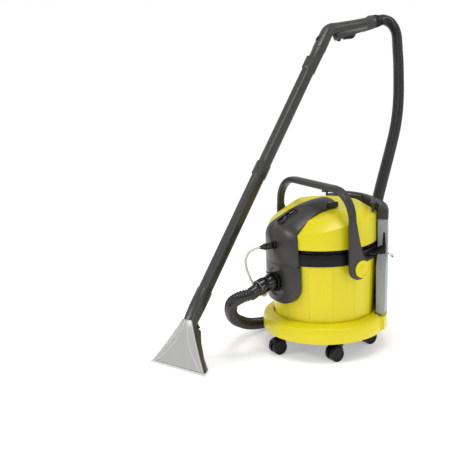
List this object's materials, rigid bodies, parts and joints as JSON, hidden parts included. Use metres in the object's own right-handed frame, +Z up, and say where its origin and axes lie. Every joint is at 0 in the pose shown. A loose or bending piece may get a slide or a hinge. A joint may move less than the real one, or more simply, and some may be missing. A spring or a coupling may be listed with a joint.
{
  "type": "spray extraction vacuum cleaner",
  "caption": "Canister carpet cleaner on twin-wheel casters, with a lift-off motor head, bail handle, rear water tank, ribbed suction hose, tubular wand and clear spray floor nozzle",
  "frame": {"origin": "centre of the flat underside of the base plate, on the machine axis, 58 mm above the floor the casters stand on", "axes": "+Z up, machine front with the hose inlet towards -Y, +X to the right seen from behind the machine front"},
  "size_m": [0.6431, 1.1666, 0.982],
  "materials": {
    "yellow": "bright yellow moulded plastic, satin gloss",
    "grey": "dark warm grey moulded plastic, fine grain",
    "black": "near-black moulded plastic",
    "wand": "dark grey moulded plastic",
    "tank": "clouded blue-grey blown plastic",
    "window": "clear plastic, grey where the dark body shows through",
    "pale": "pale moulded plastic",
    "clear_tube": "clear flexible tube",
    "hose": "ribbed near-black hose",
    "seal": "black rubber",
    "foam": "open-cell foam",
    "steel": "bright drawn wire and pins",
    "fan": "pressed sheet",
    "motor": "motor casing"
  },
  "bodies": {
    "drum": {"base_plate": "black", "wheel_chassis": "yellow", "drum_tub": "yellow", "lower_front_panel": "grey", "inlet_socket": "black", "inlet_deflector": "grey", "hose_connector": "black", "suction_hose": "hose", "spray_tube": "clear_tube", "spray_plug": "black"},
    "head": {"head_base": "black", "head_deck": "black", "rim_seal": "seal", "head_cover": "yellow", "upper_front_panel": "grey", "switch_bezel": "black", "spray_socket": "black", "suction_motor": "motor", "spray_pump": "black", "filter_cage": "black", "foam_filter": "foam", "accessory_rack": "grey", "pivot_pin_left": "steel", "pivot_pin_right": "steel", "pivot_cap_left": "yellow", "pivot_cap_right": "yellow", "wire_hook": "steel", "cable_gland": "black"},
    "bail": {"bail_handle": "grey"},
    "suction_switch": {"rocker_suction": "black"},
    "spray_switch": {"rocker_spray": "black"},
    "fan": {"turbine_fan": "fan"},
    "float": {"safety_float": "pale"},
    "tank": {"water_tank": "tank", "tank_valve": "black"},
    "lid": {"tank_lid": "grey"},
    "caster_1": {"caster_fork_1": "black"},
    "caster_2": {"caster_fork_2": "black"},
    "caster_3": {"caster_fork_3": "black"},
    "caster_4": {"caster_fork_4": "black"},
    "caster_5": {"caster_fork_5": "black"},
    "wheels_1": {"caster_wheels_1": "black"},
    "wheels_2": {"caster_wheels_2": "black"},
    "wheels_3": {"caster_wheels_3": "black"},
    "wheels_4": {"caster_wheels_4": "black"},
    "wheels_5": {"caster_wheels_5": "black"},
    "wand": {"grip_shell": "wand", "trigger_housing": "wand", "upper_tube": "wand", "lower_tube": "wand", "nozzle_body": "wand", "nozzle_window": "window", "nozzle_lip": "pale", "spray_jet": "black", "hose_cuff": "black"},
    "trigger": {"spray_trigger": "black"},
    "lock": {"trigger_lock": "black"},
    "air_control": {"air_slider": "black"},
    "tube_button": {"tube_latch": "black"},
    "nozzle_button": {"nozzle_latch": "black"}
  },
  "joints": [
    {"name": "head_lift", "type": "slide", "parent": "drum", "child": "head", "axis": [0, 0, 1], "range_m": [0, 0.25]},
    {"name": "bail_swing", "type": "hinge", "parent": "head", "child": "bail", "pos_m": [0, 0, 0.218], "axis": [1, 0, 0], "range_deg": [0, 40]},
    {"name": "suction_switch_rock", "type": "hinge", "parent": "head", "child": "suction_switch", "pos_m": [0, -0.13767, 0.34672], "axis": [1, 0, 0], "range_deg": [-8, 8]},
    {"name": "spray_switch_rock", "type": "hinge", "parent": "head", "child": "spray_switch", "pos_m": [0, -0.10885, 0.36061], "axis": [1, 0, 0], "range_deg": [-8, 8]},
    {"name": "fan_spin", "type": "hinge", "parent": "head", "child": "fan", "pos_m": [0, 0, 0.25], "axis": [0, 0, 1], "continuous": true},
    {"name": "float_rise", "type": "slide", "parent": "head", "child": "float", "axis": [0, 0, 1], "range_m": [0, 0.038]},
    {"name": "tank_lift", "type": "slide", "parent": "drum", "child": "tank", "axis": [0, 0, 1], "range_m": [0, 0.25]},
    {"name": "lid_lift", "type": "slide", "parent": "tank", "child": "lid", "axis": [0, 0, 1], "range_m": [0, 0.06]},
    {"name": "caster_1_swivel", "type": "hinge", "parent": "drum", "child": "caster_1", "pos_m": [0, -0.15, -0.01], "axis": [0, 0, 1], "continuous": true},
    {"name": "caster_1_roll", "type": "hinge", "parent": "caster_1", "child": "wheels_1", "pos_m": [0, -0.17, -0.036], "axis": [1, 0, 0], "continuous": true},
    {"name": "caster_2_swivel", "type": "hinge", "parent": "drum", "child": "caster_2", "pos_m": [0.14266, -0.04635, -0.01], "axis": [0, 0, 1], "continuous": true},
    {"name": "caster_2_roll", "type": "hinge", "parent": "caster_2", "child": "wheels_2", "pos_m": [0.14266, -0.06635, -0.036], "axis": [1, 0, 0], "continuous": true},
    {"name": "caster_3_swivel", "type": "hinge", "parent": "drum", "child": "caster_3", "pos_m": [0.08817, 0.12135, -0.01], "axis": [0, 0, 1], "continuous": true},
    {"name": "caster_3_roll", "type": "hinge", "parent": "caster_3", "child": "wheels_3", "pos_m": [0.08817, 0.10135, -0.036], "axis": [1, 0, 0], "continuous": true},
    {"name": "caster_4_swivel", "type": "hinge", "parent": "drum", "child": "caster_4", "pos_m": [-0.08817, 0.12135, -0.01], "axis": [0, 0, 1], "continuous": true},
    {"name": "caster_4_roll", "type": "hinge", "parent": "caster_4", "child": "wheels_4", "pos_m": [-0.08817, 0.10135, -0.036], "axis": [1, 0, 0], "continuous": true},
    {"name": "caster_5_swivel", "type": "hinge", "parent": "drum", "child": "caster_5", "pos_m": [-0.14266, -0.04635, -0.01], "axis": [0, 0, 1], "continuous": true},
    {"name": "caster_5_roll", "type": "hinge", "parent": "caster_5", "child": "wheels_5", "pos_m": [-0.14266, -0.06635, -0.036], "axis": [1, 0, 0], "continuous": true},
    {"name": "wand_lift", "type": "slide", "parent": "drum", "child": "wand", "axis": [0, 0, 1], "range_m": [0, 0.1], "deforming": ["suction_hose"]},
    {"name": "trigger_pull", "type": "hinge", "parent": "wand", "child": "trigger", "pos_m": [-0.38627, 0.38455, 0.85643], "axis": [0.9577, 0.0776, 0.277], "range_deg": [0, 7], "stiffness_Nm_per_rad": 0.12, "springref_deg": -5.73},
    {"name": "lock_slide", "type": "slide", "parent": "wand", "child": "lock", "axis": [-0.1086, 0.9892, 0.0983], "range_m": [0, 0.005]},
    {"name": "air_slide", "type": "slide", "parent": "wand", "child": "air_control", "axis": [-0.2602, 0.6441, 0.7193], "range_m": [0, 0.012]},
    {"name": "tube_button_press", "type": "slide", "parent": "wand", "child": "tube_button", "axis": [0.2695, -0.667, 0.6947], "range_m": [0, 0.002], "stiffness_N_per_m": 600, "springref_m": -0.002},
    {"name": "nozzle_button_press", "type": "slide", "parent": "wand", "child": "nozzle_button", "axis": [0.2695, -0.667, 0.6947], "range_m": [0, 0.002], "stiffness_N_per_m": 600, "springref_m": -0.002}
  ]
}
